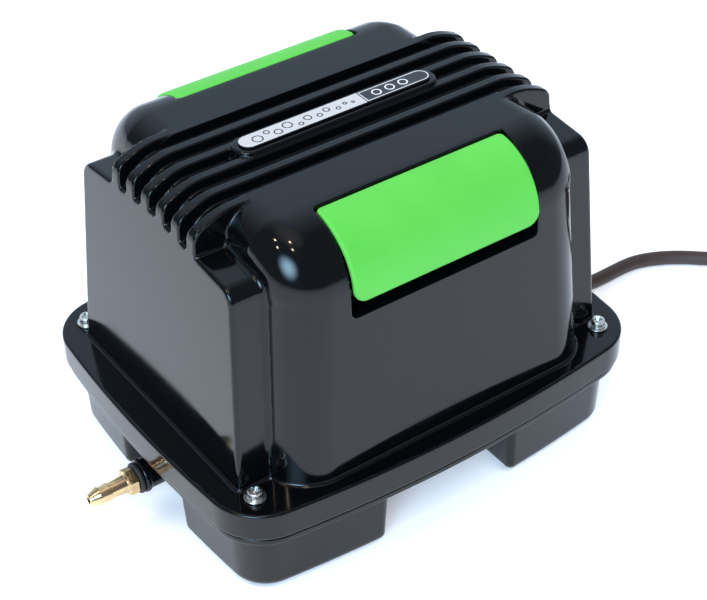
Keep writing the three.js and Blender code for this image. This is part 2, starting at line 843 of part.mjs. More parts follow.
// All turns of the coiled length as one ring.
function cordCoil() {
  const low = coilLow;
  const high = coilHigh;
  const inner = coilRadius - coilHalfWidth;
  const outer = coilRadius + coilHalfWidth;
  return turnedUp([
    [low, inner + 2.5], [low, outer - 2.5], [low + 3, outer], [high - 3, outer],
    [high, outer - 2.5], [high, inner + 2.5], [high - 3, inner], [low + 3, inner],
    [low, inner + 2.5],
  ], coilMiddle[0], coilMiddle[1], 0, 32);
}

// Strap around the bundle on the side away from the pump.
function cordTie() {
  const width = 2 * coilHalfWidth + 4;
  const x = coilMiddle[0] + coilRadius;
  const outer = box(width, 9, coilHigh + 1.3, x, coilMiddle[1], (coilHigh + 1.3) / 2);
  const inner = box(width - 2.6, 20, coilHigh + gap - (coilLow - gap), x, coilMiddle[1],
    (coilHigh + coilLow) / 2);
  return cut(outer, inner);
}

// Two-pin earthed plug lying beside the coil.
function plug() {
  const body = turned([
    [0, 0], [0, 5.4], [14, 7.5], [20, 13], [26, 17.5], [34, 18.5], [40, 18.5], [41.5, 17.5],
    [41.5, 0],
  ], 0, 0, 0, 16);
  const pins = [-1, 1].map((side) => rod(2.4, 22, 50.5, side * 9.5, 0, 'x', 8));
  const lying = join(body, ...pins);
  return lying.rotateZ(THREE.MathUtils.degToRad(plugTurn)).translate(...plugSpot);
}

// ---- air filter ----------------------------------------------------------

function filterCover() {
  const body = box(66, 46, 8, filterX, 0, trayUnder - gap - 4);
  const inside = box(61, 41, 8, filterX, 0, trayUnder - gap - 4 + 2);
  const slots = [-18, -6, 6, 18].map((x) => box(5, 30, 8, filterX + x, 0, trayUnder - gap - 8));
  return cut(body, inside, ...slots);
}

function filterPad() {
  return box(60, 40, 5, filterX, 0, trayUnder - 2 * gap - 2.5);
}

place('upper_housing', upperHousing(), black);
place('front_grip', gripBand(-1, 0, -gripThick, gripHalfX, gripLowZ, gripBack, 10), green);
place('rear_grip', gripBand(1, 0, -gripThick, gripHalfX, gripLowZ, gripBack, 10), green);
place('label_plate', labelPlate(), silver);
corners(screwX, screwY).forEach(([x, y], i) => {
  place(`housing_screw_${i + 1}`, housingScrew(x, y), steel);
});
place('base_tray', baseTray(), baseBlack);
corners(footPadX, footPadY).forEach(([x, y], i) => {
  place(`foot_pad_${i + 1}`, footPad(x, y), rubber);
});
place('base_gasket', baseGasket(), rubber);
place('outlet_port', outletPort(), baseBlack);
place('outlet_seal', outletSeal(), rubber);
place('hose_barb', hoseBarb(), brass);
place('air_chamber', airChamber(), nylon);
place('filter_cover', filterCover(), baseBlack);
place('filter_pad', filterPad(), felt);
corners(mountX, mountY).forEach(([x, y], i) => {
  place(`vibration_mount_${i + 1}`, vibrationMount(x, y), rubber);
});
place('motor_frame', motorFrame(), alloy);
place('front_core', core(-1), lamination);
place('rear_core', core(1), lamination);
place('front_coil', coil(-1), copper);
place('rear_coil', coil(1), copper);
place('magnet_rod', magnetRod(), steel);
place('front_magnet', magnet(-1), ferrite);
place('rear_magnet', magnet(1), ferrite);
for (const [name, sign] of [['left', -1], ['right', 1]]) {
  place(`${name}_inner_disc`, diaphragmDisc(sign * (diaphragmX - 1 - gap), -sign), alloy);
  place(`${name}_diaphragm`, diaphragm(sign), rubber);
  place(`${name}_outer_disc`, diaphragmDisc(sign * (diaphragmX + 1 + gap), sign), alloy);
  place(`${name}_rod_nut`, rodNut(sign * (diaphragmX + 7)), steel);
  place(`${name}_clamp_ring`, clampRing(sign), alloy);
  place(`${name}_pump_head`, pumpHead(sign), nylon);
  place(`${name}_inlet_valve`, umbrellaValve(sign, -1), rubber);
  place(`${name}_outlet_valve`, umbrellaValve(sign, 1), rubber);
  place(`${name}_head_cover`, headCover(sign), nylon);
  place(`${name}_head_hose`, headHose(sign), rubber);
}
place('terminal_block', terminalBlock(), nylon);
place('cord_entry', cordEntry(), baseBlack);
place('strain_relief', strainRelief(), rubber);
place('power_cord', powerCord(), cordSkin);
place('cord_coil', cordCoil(), cordSkin);
place('cord_tie', cordTie(), rubber);
place('plug', plug(), cordSkin);
model.children.forEach((piece) => piece.geometry.translate(shiftX, 0, 0));

export default model;
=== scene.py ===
import json
import math

import bmesh
import bpy
import numpy as np
from mathutils import Matrix, Vector


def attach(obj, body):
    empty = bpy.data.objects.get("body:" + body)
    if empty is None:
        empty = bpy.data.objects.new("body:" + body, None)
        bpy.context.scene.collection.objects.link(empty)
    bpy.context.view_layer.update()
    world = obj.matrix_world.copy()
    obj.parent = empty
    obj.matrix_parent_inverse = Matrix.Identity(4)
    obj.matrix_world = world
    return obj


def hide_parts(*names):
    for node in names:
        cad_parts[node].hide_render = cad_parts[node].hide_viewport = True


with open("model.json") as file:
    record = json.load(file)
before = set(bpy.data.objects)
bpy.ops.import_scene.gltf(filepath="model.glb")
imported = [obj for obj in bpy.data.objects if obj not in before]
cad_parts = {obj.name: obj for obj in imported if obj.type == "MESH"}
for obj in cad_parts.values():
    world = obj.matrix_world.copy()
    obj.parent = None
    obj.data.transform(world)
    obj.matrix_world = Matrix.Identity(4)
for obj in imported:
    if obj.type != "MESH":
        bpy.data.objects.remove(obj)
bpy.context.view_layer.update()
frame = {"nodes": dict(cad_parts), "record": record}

MM = 0.001
SHIFT = Vector((0.014, 0.0, 0.0))      # middle of the housing in the shared frame
NO_SHIFT = Vector((0.0, 0.0, 0.0))

# Camera, in metres from the middle of the housing.
CAMERA_PLACE = Vector((-0.40141, -0.58321, 0.62995))
CAMERA_LOOK = Vector((0.452786, 0.644655, -0.615959))
CAMERA_ROLL = math.radians(-0.93)
LENS = 87.0
SENSOR = 36.0

# Housing and tray, in millimetres from the middle of the housing; the corners are those of the
# flange's outline, whose sides bow out between them.
CORNER_X = 96.2
CORNER_Y = 69.9
CORNER_R = 29.7
LONG_BOW = 6.2
SHORT_BOW = 3.1
FLANGE_TOP = 59.8
FLANGE_LOW = 43.8
DRAFT = 0.062
SKIN = 3.6
BLOCK_X = 112.4
BLOCK_Y = 74.6
SHOULDER_X = 95.4
SHOULDER_Y = 94.6
SHOULDER_R = 32.0
TOP = 191.5
FIN_PITCH = 13.66
FIN_HALF = 2.8
FIN_SPREAD = 0.055
FIN_BEND = 82.6
FLUTE_BEND = 84.0
PAD_TOP = 193.6
GRIP_X = 54.0
GRIP_R = 32.0
GRIP_Y = 58.8
GRIP_Z = 158.6
GRIP_THICK = 3.4
GRIP_LOW = 155.0
GRIP_BACK = 59.0
POCKET_LOW = 146.4
POCKET_IN = 73.0
SCREW = (108.0, 82.1)
CORNERS = ((-1, -1), (1, -1), (1, 1), (-1, 1))
FOOT_X = 38.3
FOOT_Y = 26.3
FOOT_DRAFT = 0.04
PAD_PLACE = (88.0, 66.0)
OUTLET_DOWN_X = -50.0

# Solids with a detailed piece of their own below.
DETAILED = {
    "upper_housing", "base_tray", "front_grip", "rear_grip", "label_plate", "hose_barb",
    "outlet_seal", "outlet_port", "strain_relief", "power_cord", "cord_coil", "cord_tie", "plug",
    *(f"housing_screw_{i}" for i in range(1, 5)), *(f"foot_pad_{i}" for i in range(1, 5)),
}

# Label on its pad, and the bubbles printed on it as x, y and radius.
LABEL_HALF = 55.7
LABEL_R = 5.3
LABEL_LOW = 193.9
LABEL_SPLIT = 15.0
LABEL_SILVER = (0.50, 0.485, 0.50)
LABEL_DARK = (0.016, 0.018, 0.024)
LABEL_WHITE = (0.75, 0.75, 0.76)
LABEL_EDGE = (0.01, 0.01, 0.012)
OUTLINE_IN = 0.95
OUTLINE_HALF = 0.22
RING_HALF = 0.34
DARK_RIM = 0.28
BUBBLES = (
    (-46.0, -0.8, 2.6), (-39.5, 1.6, 1.4), (-34.6, -1.3, 2.0), (-28.0, 0.9, 2.4), (-21.8, -1.9, 1.2),
    (-16.5, 0.6, 1.9), (-10.4, -0.9, 1.3), (-5.2, 1.2, 1.6), (0.5, -1.0, 1.1), (5.4, 0.7, 0.9),
    (9.4, -0.6, 0.7), (24.0, 0.0, 2.3), (32.0, 0.0, 2.3), (40.0, 0.0, 2.3),
)

# Hose barb, its seal and the outlet.
OUTLET_Z = 21.2
PORT_END = -127.5
HEX_BACK = -130.8
HEX_FRONT = -135.8
RIDGE_BACK = -145.5
RIDGE_FRONT = -151.9
BARB_TIP = -157.0

# Cord: thickness in millimetres, and its route in metres from where it leaves the housing to the
# coil that lies at the right.
CORD_R = 4.25
CORD_Z = 16.0
ENTRY_END = 98.0
ROUTE = (
    (0.1, 0, 0.016), (0.114, 0, 0.016), (0.1306, 0, 0.016), (0.139, 0, 0.016), (0.148, 0, 0.0158),
    (0.156, 0, 0.0141), (0.164, 0, 0.0108), (0.172, 0, 0.0077), (0.18, 0, 0.0052),
    (0.189, 0.0001, 0.00435), (0.202, 0.0004, 0.00425), (0.211, 0.0004, 0.00425),
    (0.22, -0.0009, 0.00425), (0.233, -0.0062, 0.00425), (0.2445, -0.0138, 0.00425),
    (0.2555, -0.0233, 0.00425), (0.264, -0.0302, 0.00425), (0.272, -0.0372, 0.00425),
    (0.279, -0.0448, 0.00425), (0.2852, -0.0532, 0.00425), (0.2912, -0.0628, 0.00425),
    (0.2978, -0.0738, 0.00425),
)

# Coil and plug, in millimetres and degrees.
COIL = (357.2, -40.9)
COIL_START = -151.0
COIL_TURNS = 5.05
COIL_STEPS = 20
TIE_X = 405.2
PLUG = (346.3, -111.4, 18.6)
PLUG_TURN = math.radians(-43.0)

# The room mirrored in the gloss: directions from the middle of the pump, and what shines there.
WALL_WAY = (0.47, 0.81, 0.34)
WINDOW_WAY = (-0.708, -0.499, 0.499)
LAMP_WAYS = (
    (-0.486, 0.057, 0.872), (-0.174, -0.198, 0.965), (-0.596, -0.083, 0.798), (-0.264, -0.365, 0.893),
)
LAMP_REACH = 2.4
PUMP_MIDDLE = Vector((0, 0, 0.1))
DIM_ROOM = (0.175, 0.195, 0.235)
BRIGHT_WALL = (0.66, 0.82, 1.0)
PALE_CEILING = (0.75, 0.74, 0.76)
WINDOW_GLOW = (8.5, 14.0, 19.0)
FLOOR_COLOUR = (0.88, 0.88, 0.9)
FLOOR_GLOW = (0.86, 0.89, 1.0)
KEY_COLOUR = (1, 0.99, 0.97)
LAMP_COLOUR = (1, 0.83, 0.62)


# ---- camera --------------------------------------------------------------

def make_camera():
    look = CAMERA_LOOK.normalized()
    right = look.cross(Vector((0, 0, 1))).normalized()
    up = right.cross(look)
    tilted_right = right * math.cos(CAMERA_ROLL) + up * math.sin(CAMERA_ROLL)
    tilted_up = up * math.cos(CAMERA_ROLL) - right * math.sin(CAMERA_ROLL)
    data = bpy.data.cameras.new("camera")
    data.sensor_fit = "HORIZONTAL"
    data.sensor_width = SENSOR
    data.lens = LENS
    data.clip_start = 0.05
    camera = bpy.data.objects.new("camera", data)
    bpy.context.collection.objects.link(camera)
    turn = Matrix((tilted_right, tilted_up, -look)).transposed().to_4x4()
    camera.matrix_world = Matrix.Translation(CAMERA_PLACE + SHIFT) @ turn
    bpy.context.scene.camera = camera


# ---- distance fields -----------------------------------------------------
# Shapes are signed distances in millimetres, negative inside, joined and cut with round edges.

def cut_round(a, b, radius):
    """Where both a and b are inside, with a convex edge of that radius."""
    corner = np.hypot(np.maximum(a + radius, 0), np.maximum(b + radius, 0))
    return np.minimum(np.maximum(a, b), -radius) + corner


def join_round(a, b, radius):
    """Where a or b is inside, with a concave fillet of that radius."""
    corner = np.hypot(np.maximum(radius - a, 0), np.maximum(radius - b, 0))
    return np.maximum(np.minimum(a, b), radius) - corner


def flange_field(x, y):
    """Distance to the bowed outline of the flange, seen from above."""
    ax, ay = np.abs(x), np.abs(y)
    short_r = (CORNER_Y ** 2 + SHORT_BOW ** 2) / (2 * SHORT_BOW)
    long_r = (CORNER_X ** 2 + LONG_BOW ** 2) / (2 * LONG_BOW)
    side = np.hypot(ax - (CORNER_X + SHORT_BOW - short_r), ay) - short_r
    front = np.hypot(ax, ay - (CORNER_Y + LONG_BOW - long_r)) - long_r
    # the corner's own circle holds between the two arcs' end normals
    side_slope = CORNER_Y / (CORNER_X - (CORNER_X + SHORT_BOW - short_r))
    front_slope = CORNER_X / (CORNER_Y - (CORNER_Y + LONG_BOW - long_r))
    dx, dy = ax - CORNER_X, ay - CORNER_Y
    in_corner = (dy > dx * side_slope) & (dx > dy * front_slope)
    return np.where(in_corner, np.hypot(dx, dy), np.maximum(side, front)) - CORNER_R


def grip_radius(y, z):
    """Distance from the grip's axis, straight down below it."""
    ay = np.abs(y) - GRIP_Y
    return np.where(z > GRIP_Z, np.hypot(ay, z - GRIP_Z), ay)


def grip_field(x, y, z):
    """Green skin: a curved band with a straight lower part, its corners well rounded."""
    band = np.abs(grip_radius(y, z) - (GRIP_R - GRIP_THICK / 2)) - GRIP_THICK / 2
    edges = cut_round(np.abs(x) - GRIP_X, GRIP_LOW - z, 7.0)
    edges = cut_round(edges, GRIP_BACK - np.abs(y), 3.0)
    return cut_round(band, edges, 1.3)


def shoulder_field(x, y, z, drift):
    """Front and rear shoulder under the grips; drift is how far the walls have leaned in at z."""
    side = np.abs(x) - (SHOULDER_X - drift)
    front = np.abs(y) - (SHOULDER_Y - drift)
    top = z - TOP
    long_edge = cut_round(front, top, SHOULDER_R)
    toward_top = np.maximum(top + SHOULDER_R, 0)
    toward_front = np.maximum(front + SHOULDER_R, 0)
    share = toward_top / (toward_top + toward_front + 1e-6)
    corner = 26.0 - 9.0 * share
    return cut_round(long_edge, side, corner)


def fin_field(x, y, z, side):
    """Six fins along X with flat crests that bend down toward their ends."""
    row = np.clip(np.round(y / FIN_PITCH - 0.5) + 0.5, -2.5, 2.5)
    flank = np.abs(y - row * FIN_PITCH) - (FIN_HALF + FIN_SPREAD * (TOP - z))
    beyond = np.clip((np.abs(x) - FIN_BEND) / 20.0, 0, 1.4)
    crest = (z - (TOP - 6.2 * beyond ** 1.7)) / np.sqrt(1 + (0.527 * beyond ** 0.7) ** 2)
    return cut_round(cut_round(crest, side, 3.4), flank, 1.15)


def flute_field(x, y, z):
    """Solid under the floor of the flutes between the fins."""
    beyond = np.clip((np.abs(x) - FLUTE_BEND) / 18.0, 0, 1.3)
    floor = (z - (186.0 - 13.0 * beyond ** 2)) / np.sqrt(1 + (1.444 * beyond) ** 2)
    return np.maximum(floor, np.abs(y) - 34.5)


def hollow_field(ax, ay, z, walls, shoulder, outline):
    """Room inside the housing: block, shoulders, space under the fins and a step for the gasket."""
    hollow = np.maximum(walls + SKIN, z - 166.6)
    hollow = np.minimum(hollow, np.maximum(shoulder + SKIN, 36.0 - ay))
    hollow = np.minimum(hollow, np.maximum(np.maximum(ax - 82, ay - 32), z - 182))
    hollow = np.maximum(hollow, 55.8 - z)
    return np.minimum(hollow, np.maximum(outline + 5, z - 56.2))


def housing_field(x, y, z):
    """The whole housing: finned block between two shoulders on a flange, hollow from below."""
    ax, ay = np.abs(x), np.abs(y)
    drift = DRAFT * (z - FLANGE_TOP)
    side = ax - (BLOCK_X - drift)
    front = ay - (BLOCK_Y - drift)
    block_top = (z - (173.4 - 0.0984 * (ay - 36.6))) * 0.995
    block = cut_round(cut_round(front, block_top, 7.5), side, 2.2)
    shoulder = shoulder_field(x, y, z, drift)
    shoulder_part = np.maximum(shoulder, 31.3 - ay)
    outline = flange_field(x, y)
    flange = cut_round(cut_round(outline, z - FLANGE_TOP, 1.4), FLANGE_LOW - z, 1.3)
    flutes = np.maximum(flute_field(x, y, z), side)
    finned = join_round(fin_field(x, y, z, side), flutes, 1.3)
    pad_edge = np.hypot(np.maximum(ax - 50.8, 0), y) - 8.2
    pad = cut_round(np.maximum(pad_edge, 175 - z), z - PAD_TOP, 1.3)
    body = join_round(block, shoulder_part, 2.5)
    body = join_round(body, finned, 1.5)
    # the fillets above must not swell the flat faces that the parts share
    body = np.maximum(body, np.maximum(side, z - TOP))
    body = np.maximum(join_round(body, pad, 0.8), 50 - z)
    body = join_round(body, flange, 1.8)
    pocket = np.maximum(cut_round(ax - 54.4, POCKET_LOW - z, 2.0), np.maximum(z - 167, POCKET_IN - ay))
    bed = np.maximum(GRIP_R - GRIP_THICK - 0.5 - grip_radius(y, z), GRIP_BACK - 0.5 - ay)
    bed = np.maximum(bed, cut_round(ax - GRIP_X - 0.5, GRIP_LOW - 0.7 - z, 7.0))
    boss = np.hypot(ax - SCREW[0], ay - SCREW[1])
    hollow = hollow_field(ax, ay, z, np.maximum(side, front), shoulder, outline)
    for keep_clear in (3 - pocket, 3 - bed, 6.5 - boss):
        hollow = np.maximum(hollow, keep_clear)
    shape = np.maximum(body, -hollow)
    shape = np.maximum(shape, -pocket)
    shape = np.maximum(shape, -bed)
    return np.maximum(shape, 2.6 - boss)


def base_field(x, y, z):
    """Tray with four hollow feet, holes for the screws, the outlet and the cord, and pad seats."""
    ax, ay = np.abs(x), np.abs(y)
    outline = flange_field(x, y)
    plate = cut_round(cut_round(outline + 1.6, z - 42.4, 1.0), 38.5 - z, 1.2)
    pull = FOOT_DRAFT * (40 - z)
    wall = cut_round(outline + 8.0 + pull, FOOT_X + pull - ax, 4.0)
    wall = cut_round(wall, FOOT_Y + pull - ay, 4.0)
    foot = cut_round(np.maximum(wall, z - 41.0), 1.2 - z, 5.0)
    shape = join_round(plate, foot, 4.0)
    pocket = np.maximum(np.abs(ax - 86) - 13.5, np.maximum(np.abs(ay - 56) - 23, 8 - z))
    screw = np.hypot(ax - SCREW[0], ay - SCREW[1]) - 2.3
    seat = np.maximum(np.hypot(ax - PAD_PLACE[0], ay - PAD_PLACE[1]) - 9.3, z - 2.0)
    air = np.hypot(x - OUTLET_DOWN_X, y) - 9.3
    cord = np.hypot(x - 78, y) - 8.3
    for hole in (pocket, np.maximum(screw, 37.2 - z), seat, air, cord):
        shape = np.maximum(shape, -hole)
    return shape


# ---- meshing -------------------------------------------------------------

def steps(*stops):
    """Grid lines through stops given as value, step, value, step, value."""
    lines = [np.array([stops[0]])]
    for i in range(0, len(stops) - 2, 2):
        count = max(1, round((stops[i + 2] - stops[i]) / stops[i + 1]))
        lines.append(np.linspace(stops[i], stops[i + 2], count + 1)[1:])
    return np.concatenate(lines)


def mirrored(*stops):
    half = steps(*stops)
    return np.concatenate([-half[::-1], half[1:] if half[0] == 0 else half])


def gradient(field, points, reach=0.05):
    """Slope of a field along x, y and z at each point."""
    slopes = []
    for axis in range(3):
        offset = np.zeros((3, 1))
        offset[axis] = reach
        slopes.append((field(*(points + offset)) - field(*(points - offset))) / (2 * reach))
    return np.array(slopes)


def crossings(value, axes, axis):
    """Grid edges along one axis that the surface crosses: index, crossing spot, facing order."""
    near, far = [slice(None)] * 3, [slice(None)] * 3
    near[axis], far[axis] = slice(None, -1), slice(1, None)
    a, b = value[tuple(near)], value[tuple(far)]
    flips = (a < 0) != (b < 0)
    where = np.argwhere(flips)
    a, b = a[flips], b[flips]
    spots = [axes[k][where[:, k]] for k in range(3)]
    low, high = axes[axis][where[:, axis]], axes[axis][where[:, axis] + 1]
    spots[axis] = low + a / (a - b) * (high - low)
    return where, spots, (a < 0) == (axis != 1)


def cells_around(where, axis, shape):
    """Numbers of the four grid cells that share each edge, in order round it."""
    first, second = (k for k in range(3) if k != axis)
    rows = []
    for da, db in ((0, 0), (-1, 0), (-1, -1), (0, -1)):
        cell = where.copy()
        cell[:, first] += da
        cell[:, second] += db
        rows.append(np.ravel_multi_index(cell.T, shape))
    return np.stack(rows, axis=1)


def surface_net(value, xs, ys, zs):
    """Points and quads: one point in each cell, at the mean of the crossings on its edges."""
    shape = np.array(value.shape) - 1
    total = np.zeros((4, shape.prod()))
    quads = []
    for axis in range(3):
        where, spots, outward = crossings(value, (xs, ys, zs), axis)
        ring = cells_around(where, axis, shape)
        for cells in ring.T:
            for k in range(3):
                np.add.at(total[k], cells, spots[k])
            np.add.at(total[3], cells, 1.0)
        ring[~outward] = ring[~outward][:, ::-1]
        quads.append(ring)
    used = np.flatnonzero(total[3])
    number = np.full(total.shape[1], -1)
    number[used] = np.arange(len(used))
    return total[:3, used] / total[3, used], number[np.concatenate(quads)]


def surface_mesh(name, field, xs, ys, zs, shift=SHIFT):
    """Closed quad mesh of a field's zero surface, smooth shaded by the field's own slope."""
    value = field(xs[:, None, None], ys[None, :, None], zs[None, None, :])
    value = np.broadcast_to(value, (len(xs), len(ys), len(zs)))
    points, faces = surface_net(value, xs, ys, zs)
    for _ in range(3):
        slope = gradient(field, points)
        points = points - slope * field(*points) / np.maximum((slope ** 2).sum(0), 0.2)
    normals = gradient(field, points, 0.12)
    normals /= np.maximum(np.linalg.norm(normals, axis=0), 1e-9)
    mesh = bpy.data.meshes.new(name)
    mesh.from_pydata((points.T * MM + np.array(shift)).tolist(), [], faces.tolist())
    mesh.polygons.foreach_set("use_smooth", np.ones(len(faces), dtype=bool))
    mesh.normals_split_custom_set_from_vertices(normals.T.tolist())
    mesh.update()
    piece = bpy.data.objects.new(name, mesh)
    bpy.context.collection.objects.link(piece)
    return piece


# ---- materials -----------------------------------------------------------

def new_material(name, colour, roughness, metallic=0.0):
    material = bpy.data.materials.new(name)
    material.use_nodes = True
    shader = material.node_tree.nodes["Principled BSDF"]
    shader.inputs["Base Color"].default_value = (*colour, 1)
    shader.inputs["Roughness"].default_value = roughness
    shader.inputs["Metallic"].default_value = metallic
    return material, material.node_tree, shader


def place_noise(tree, scale, detail=3.0, stretch=(1, 1, 1)):
    """Noise in object space, so that it stays put on the piece."""
    coords = tree.nodes.new("ShaderNodeTexCoord")
    mapping = tree.nodes.new("ShaderNodeMapping")
    mapping.inputs["Scale"].default_value = stretch
    noise = tree.nodes.new("ShaderNodeTexNoise")
    noise.inputs["Scale"].default_value = scale
    noise.inputs["Detail"].default_value = detail
    tree.links.new(coords.outputs["Object"], mapping.inputs["Vector"])
    tree.links.new(mapping.outputs["Vector"], noise.inputs["Vector"])
    return noise


def spread(tree, source, low, high, out_low, out_high):
    """Source from low to high becomes out_low to out_high."""
    ramp = tree.nodes.new("ShaderNodeMapRange")
    ramp.inputs["From Min"].default_value = low
    ramp.inputs["From Max"].default_value = high
    ramp.inputs["To Min"].default_value = out_low
    ramp.inputs["To Max"].default_value = out_high
    tree.links.new(source, ramp.inputs["Value"])
    return ramp.outputs["Result"]


def add_bump(tree, shader, height, strength, distance):
    bump = tree.nodes.new("ShaderNodeBump")
    bump.inputs["Strength"].default_value = strength
    bump.inputs["Distance"].default_value = distance
    tree.links.new(height, bump.inputs["Height"])
    tree.links.new(bump.outputs["Normal"], shader.inputs["Normal"])


def mix_colour(tree, factor, first, second):
    mix = tree.nodes.new("ShaderNodeMix")
    mix.data_type = "RGBA"
    mix.inputs[6].default_value = (*first, 1)
    mix.inputs[7].default_value = (*second, 1)
    tree.links.new(factor, mix.inputs[0])
    return mix.outputs[2]


def cover_with(tree, factor, under, colour):
    """The socket under, with a plain colour over it by that factor."""
    mix = tree.nodes.new("ShaderNodeMix")
    mix.data_type = "RGBA"
    mix.inputs[7].default_value = (*colour, 1)
    tree.links.new(factor, mix.inputs[0])
    tree.links.new(under, mix.inputs[6])
    return mix.outputs[2]


def gloss_black(name, colour, roughness, grain):
    """Moulded black plastic: faint waviness, small scuffs in the polish and a few dust specks."""
    material, tree, shader = new_material(name, colour, roughness)
    shader.inputs["IOR"].default_value = 1.42
    scuffs = place_noise(tree, 35.0, 6.0)
    tree.links.new(spread(tree, scuffs.outputs["Fac"], 0.35, 0.75, roughness * 0.8, roughness * 1.7),
                   shader.inputs["Roughness"])
    dust = place_noise(tree, 1300.0, 1.0)
    flecks = spread(tree, dust.outputs["Fac"], 0.80, 0.86, 0.0, 0.05)
    tree.links.new(mix_colour(tree, flecks, colour, (0.30, 0.29, 0.28)), shader.inputs["Base Color"])
    ripple = place_noise(tree, grain, 2.0)
    add_bump(tree, shader, ripple.outputs["Fac"], 0.05, 0.0004)
    return material


def soft_rubber(name, colour, roughness=0.55, variation=0.12, sheen=0.5):
    """Matt rubber or soft-touch skin with a fine moulded grain."""
    material, tree, shader = new_material(name, colour, roughness)
    shader.inputs["Specular IOR Level"].default_value = sheen
    blotch = place_noise(tree, 40.0, 4.0)
    darker = tuple(c * (1 - variation) for c in colour)
    lighter = tuple(min(1, c * (1 + variation)) for c in colour)
    tree.links.new(mix_colour(tree, spread(tree, blotch.outputs["Fac"], 0.3, 0.7, 0, 1), darker, lighter),
                   shader.inputs["Base Color"])
    grain = place_noise(tree, 1800.0, 2.0)
    tree.links.new(spread(tree, grain.outputs["Fac"], 0.3, 0.7, roughness - 0.05, roughness + 0.1),
                   shader.inputs["Roughness"])
    add_bump(tree, shader, grain.outputs["Fac"], 0.25, 0.00012)
    return material


def worked_metal(name, colour, roughness, stretch=(1, 1, 1), scale=400.0, tarnish=0.25):
    """Turned, rolled or cast metal with tool marks and slight tarnish."""
    material, tree, shader = new_material(name, colour, roughness, 1.0)
    marks = place_noise(tree, scale, 4.0, stretch)
    tree.links.new(spread(tree, marks.outputs["Fac"], 0.3, 0.7, roughness * 0.7, roughness * 1.5),
                   shader.inputs["Roughness"])
    stain = place_noise(tree, 120.0, 4.0)
    dull = tuple(c * (1 - tarnish) for c in colour)
    tree.links.new(mix_colour(tree, spread(tree, stain.outputs["Fac"], 0.35, 0.7, 0, 1), colour, dull),
                   shader.inputs["Base Color"])
    add_bump(tree, shader, marks.outputs["Fac"], 0.2, 0.00005)
    return material


def calculate(tree, operation, first, second=None):
    """One maths node; the values are sockets or numbers."""
    node = tree.nodes.new("ShaderNodeMath")
    node.operation = operation
    for slot, value in zip(node.inputs, (first, second)):
        if isinstance(value, (int, float)):
            slot.default_value = value
        elif value is not None:
            tree.links.new(value, slot)
    return node.outputs[0]


def distance_to(tree, point, x, y):
    """Distance in millimetres from a spot on the label, measured in its plane."""
    node = tree.nodes.new("ShaderNodeVectorMath")
    node.operation = "DISTANCE"
    tree.links.new(point, node.inputs[0])
    node.inputs[1].default_value = (x, y, 0)
    return node.outputs["Value"]


def near_value(tree, value, target, reach):
    """1 where the value is within reach of the target, else 0."""
    node = calculate(tree, "COMPARE", value, target).node
    node.inputs[2].default_value = reach
    return node.outputs[0]


def label_place(tree):
    """In millimetres: x on the label, the flat position, and the depth inside its round-ended edge."""
    coords = tree.nodes.new("ShaderNodeTexCoord")
    split = tree.nodes.new("ShaderNodeSeparateXYZ")
    tree.links.new(coords.outputs["Object"], split.inputs["Vector"])
    x = calculate(tree, "MULTIPLY", calculate(tree, "SUBTRACT", split.outputs["X"], SHIFT.x), 1000.0)
    y = calculate(tree, "MULTIPLY", split.outputs["Y"], 1000.0)
    flat = tree.nodes.new("ShaderNodeCombineXYZ")
    tree.links.new(x, flat.inputs["X"])
    tree.links.new(y, flat.inputs["Y"])
    ends = tree.nodes.new("ShaderNodeCombineXYZ")
    beyond = calculate(tree, "SUBTRACT", calculate(tree, "ABSOLUTE", x), LABEL_HALF - LABEL_R)
    tree.links.new(calculate(tree, "MAXIMUM", beyond, 0.0), ends.inputs["X"])
    tree.links.new(y, ends.inputs["Y"])
    depth = calculate(tree, "SUBTRACT", LABEL_R, distance_to(tree, ends.outputs[0], 0, 0))
    return x, flat.outputs[0], depth


def printed_label(name):
    """Silver foil with a dark panel in a white outline, and rising bubbles printed on both."""
    material, tree, shader = new_material(name, LABEL_SILVER, 0.3)
    x, flat, depth = label_place(tree)
    panel = calculate(tree, "GREATER_THAN", x, LABEL_SPLIT)
    inner = calculate(tree, "MINIMUM", depth, calculate(tree, "SUBTRACT", x, LABEL_SPLIT))
    marks = calculate(tree, "MULTIPLY", near_value(tree, inner, OUTLINE_IN, OUTLINE_HALF), panel)
    for at, height, radius in BUBBLES:
        ring = near_value(tree, distance_to(tree, flat, at, height), radius, RING_HALF)
        marks = calculate(tree, "MAXIMUM", marks, ring)
    face = tree.nodes.new("ShaderNodeMix")
    face.data_type = "RGBA"
    ground = mix_colour(tree, panel, LABEL_SILVER, LABEL_DARK)
    ink = mix_colour(tree, panel, LABEL_DARK, LABEL_WHITE)
    for slot, value in ((0, marks), (6, ground), (7, ink)):
        tree.links.new(value, face.inputs[slot])
    rim = calculate(tree, "LESS_THAN", depth, DARK_RIM)
    tree.links.new(cover_with(tree, rim, face.outputs[2], LABEL_EDGE), shader.inputs["Base Color"])
    brushing = place_noise(tree, 500.0, 3.0, (0.05, 1, 1))
    tree.links.new(spread(tree, brushing.outputs["Fac"], 0.3, 0.7, 0.24, 0.4), shader.inputs["Roughness"])
    add_bump(tree, shader, brushing.outputs["Fac"], 0.15, 0.00003)
    return material


